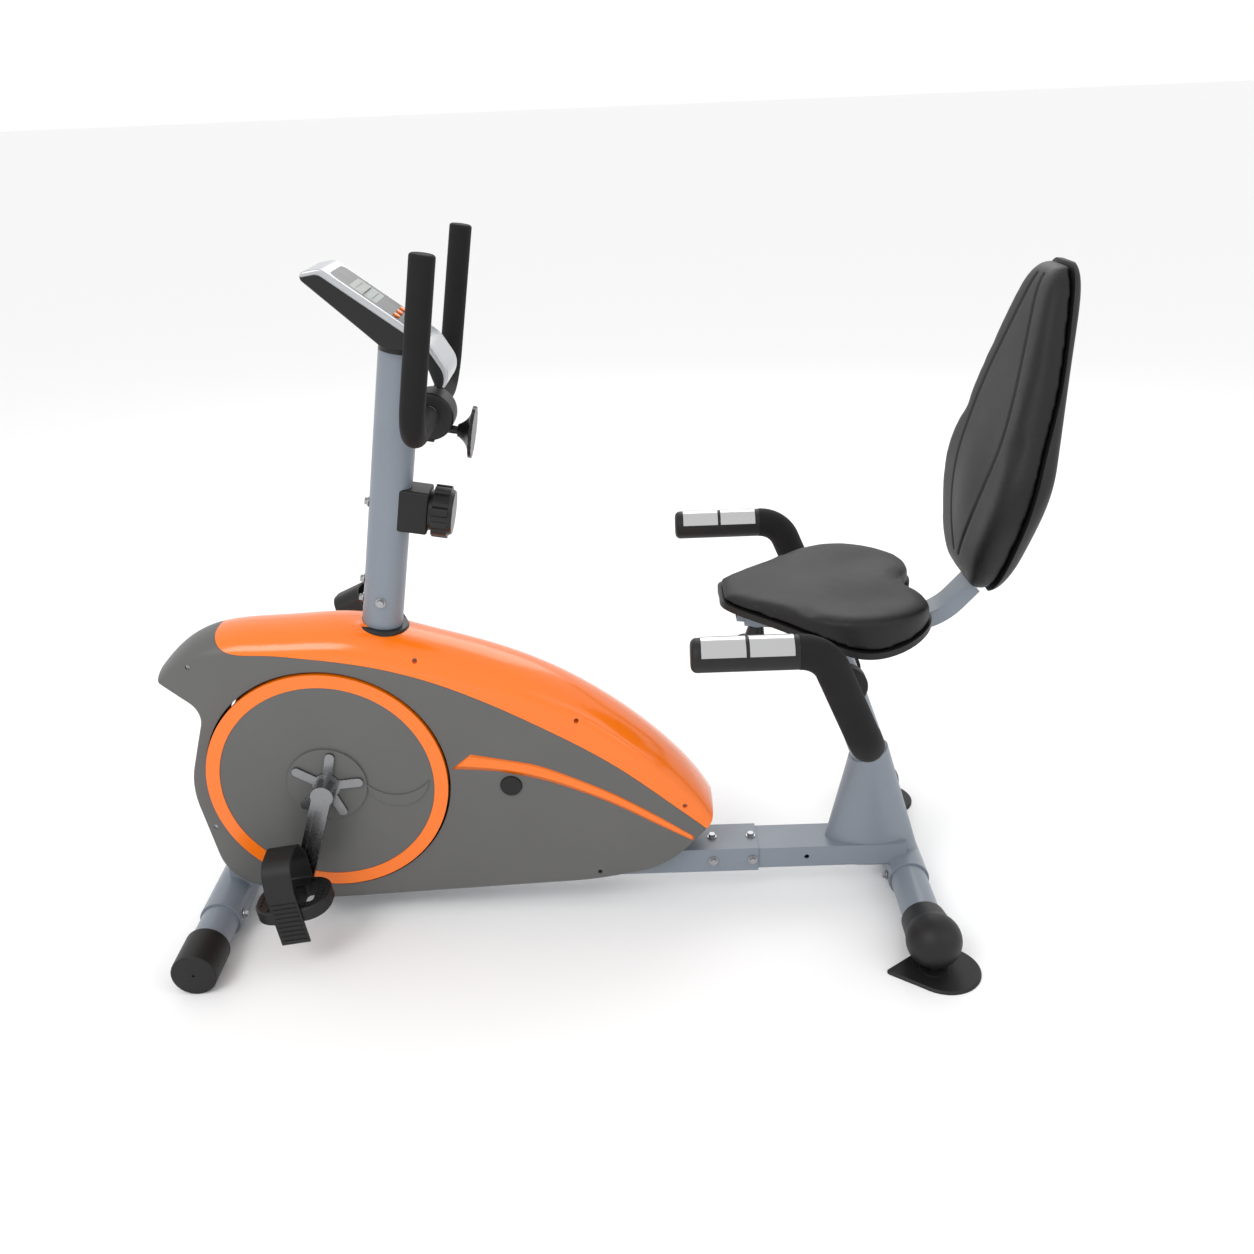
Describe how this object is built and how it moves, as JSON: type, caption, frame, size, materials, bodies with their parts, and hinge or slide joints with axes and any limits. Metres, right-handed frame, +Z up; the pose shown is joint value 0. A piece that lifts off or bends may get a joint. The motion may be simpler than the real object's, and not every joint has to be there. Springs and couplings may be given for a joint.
{
  "type": "recumbent exercise bike",
  "caption": "Recumbent magnetic exercise bike with step-through frame, cased flywheel drive, padded seat on a sliding rail, tilting handlebar and console.",
  "frame": {"origin": "on the floor under the middle of the bike's overall box", "axes": "+X from the pedals towards the backrest, +Y to the rider's right, +Z up"},
  "size_m": [1.38, 0.6068, 1.0932],
  "materials": {
    "orange_gloss_plastic": "glossy moulded ABS",
    "grey_moulded_plastic": "satin moulded ABS",
    "painted_steel": "powder coat, satin",
    "black_plastic": "fine-grained moulded plastic",
    "black_foam": "closed-cell foam",
    "black_vinyl": "embossed vinyl",
    "silver_plastic": "silver lacquered plastic",
    "chrome_steel": "bright chrome plate",
    "zinc_steel": "zinc plated",
    "cast_iron": "machined rim",
    "display_window": "clear window over a display",
    "belt_rubber": "ribbed belt"
  },
  "bodies": {
    "frame": {"front_frame": "painted_steel", "rear_frame": "painted_steel", "front_stabiliser": "painted_steel", "rear_stabiliser": "painted_steel", "front_end_caps": "black_plastic", "rear_end_caps": "black_plastic", "frame_bolts": "zinc_steel", "casing_left": "grey_moulded_plastic", "casing_right": "grey_moulded_plastic", "top_cover_left": "orange_gloss_plastic", "top_cover_right": "orange_gloss_plastic", "casing_screws": "zinc_steel", "trim_plugs": "black_plastic", "mast_collar": "grey_moulded_plastic", "mast": "painted_steel", "tension_box": "black_plastic", "tension_cable": "black_plastic", "console_back": "black_plastic", "console_frame": "silver_plastic", "console_panel": "grey_moulded_plastic", "console_window": "display_window", "handlebar_clamp": "black_plastic", "handle_tube": "painted_steel", "handle_foam": "black_foam", "pulse_grips": "black_plastic", "pulse_plates": "chrome_steel", "crank_bearings": "zinc_steel", "flywheel_axle": "zinc_steel", "drive_belt": "belt_rubber", "idler_spring": "zinc_steel", "seat_carriage": "painted_steel"},
    "crank": {"crank_axle": "zinc_steel", "crank_arms": "chrome_steel", "disc_covers": "grey_moulded_plastic", "disc_rings": "orange_gloss_plastic", "drive_pulley": "black_plastic", "pedal_axles": "zinc_steel"},
    "left_pedal": {"pedal_left": "black_plastic", "strap_left": "black_plastic"},
    "right_pedal": {"pedal_right": "black_plastic", "strap_right": "black_plastic"},
    "flywheel_body": {"flywheel": "cast_iron"},
    "idler_body": {"idler_arm": "zinc_steel"},
    "roller_body": {"idler_roller": "black_plastic"},
    "magnet_body": {"magnet_bracket": "zinc_steel"},
    "tension_knob_body": {"tension_knob": "black_plastic"},
    "handlebar_body": {"handlebar": "painted_steel", "handlebar_grips": "black_foam"},
    "clamp_knob_body": {"clamp_knob": "black_plastic"},
    "seat": {"seat_rail": "painted_steel", "seat_pan": "black_plastic", "seat_pad": "black_vinyl", "backrest_shell": "black_plastic", "backrest_pad": "black_vinyl"},
    "lock_knob_body": {"seat_lock_knob": "black_plastic"},
    "left_foot_body": {"levelling_foot_left": "black_plastic"},
    "right_foot_body": {"levelling_foot_right": "black_plastic"},
    "button_1_body": {"console_button_1": "orange_gloss_plastic"},
    "button_2_body": {"console_button_2": "orange_gloss_plastic"},
    "button_3_body": {"console_button_3": "orange_gloss_plastic"}
  },
  "joints": [
    {"name": "flywheel_spin", "type": "hinge", "parent": "frame", "child": "flywheel_body", "pos_m": [-0.145, 0, 0.249], "axis": [0, 1, 0], "continuous": true},
    {"name": "crank_spin", "type": "hinge", "parent": "frame", "child": "crank", "pos_m": [-0.44, 0, 0.266], "axis": [0, 1, 0], "continuous": true},
    {"name": "pedal_left_spin", "type": "hinge", "parent": "crank", "child": "left_pedal", "pos_m": [-0.49199, -0.163, 0.10835], "axis": [0, 1, 0], "continuous": true},
    {"name": "pedal_right_spin", "type": "hinge", "parent": "crank", "child": "right_pedal", "pos_m": [-0.38801, 0.163, 0.42365], "axis": [0, 1, 0], "continuous": true},
    {"name": "idler_arm_swing", "type": "hinge", "parent": "frame", "child": "idler_body", "pos_m": [-0.20403, 0.016, 0.1557], "axis": [0, 1, 0], "range_deg": [-4, 0], "stiffness_Nm_per_rad": 6, "springref_deg": 8.59},
    {"name": "idler_roller_spin", "type": "hinge", "parent": "idler_body", "child": "roller_body", "pos_m": [-0.26603, 0.042, 0.18169], "axis": [0, 1, 0], "continuous": true},
    {"name": "tension_knob_turn", "type": "hinge", "parent": "frame", "child": "tension_knob_body", "pos_m": [-0.23994, 0, 0.69837], "axis": [0.9842, 0, -0.1771], "range_deg": [0, 300]},
    {"name": "magnet_bracket_swing", "type": "hinge", "parent": "frame", "child": "magnet_body", "pos_m": [-0.08731, 0, 0.10621], "axis": [0, 1, 0], "range_deg": [0, 6]},
    {"name": "handlebar_tilt", "type": "hinge", "parent": "frame", "child": "handlebar_body", "pos_m": [-0.222, 0, 0.85], "axis": [0, 1, 0], "range_deg": [-25, 25]},
    {"name": "clamp_knob_turn", "type": "hinge", "parent": "frame", "child": "clamp_knob_body", "pos_m": [-0.22625, 0, 0.82638], "axis": [0.9842, 0, -0.1771], "range_deg": [0, 360]},
    {"name": "seat_slide", "type": "slide", "parent": "frame", "child": "seat", "axis": [0.9945, 0, -0.1045], "range_m": [-0.055, 0.06]},
    {"name": "seat_lock_knob_turn", "type": "hinge", "parent": "frame", "child": "lock_knob_body", "pos_m": [0.2565, 0, 0.50196], "axis": [-0.1045, 0, -0.9945], "range_deg": [0, 360]},
    {"name": "levelling_foot_left_turn", "type": "hinge", "parent": "frame", "child": "left_foot_body", "pos_m": [0.509, -0.248, 0], "axis": [0, 0, 1], "range_deg": [-90, 90]},
    {"name": "levelling_foot_right_turn", "type": "hinge", "parent": "frame", "child": "right_foot_body", "pos_m": [0.509, 0.248, 0], "axis": [0, 0, 1], "range_deg": [-90, 90]},
    {"name": "button_1_press", "type": "slide", "parent": "frame", "child": "button_1_body", "axis": [-0.6072, 0, -0.7945], "range_m": [0, 0.0015], "stiffness_N_per_m": 600},
    {"name": "button_2_press", "type": "slide", "parent": "frame", "child": "button_2_body", "axis": [-0.6072, 0, -0.7945], "range_m": [0, 0.0015], "stiffness_N_per_m": 600},
    {"name": "button_3_press", "type": "slide", "parent": "frame", "child": "button_3_body", "axis": [-0.6072, 0, -0.7945], "range_m": [0, 0.0015], "stiffness_N_per_m": 600}
  ],
  "couplings": [
    {"joint": "crank_spin", "follows": "flywheel_spin", "ratio": 0.15733},
    {"joint": "idler_roller_spin", "follows": "flywheel_spin", "ratio": -1.2273},
    {"joint": "magnet_bracket_swing", "follows": "tension_knob_turn", "ratio": 0.02}
  ]
}
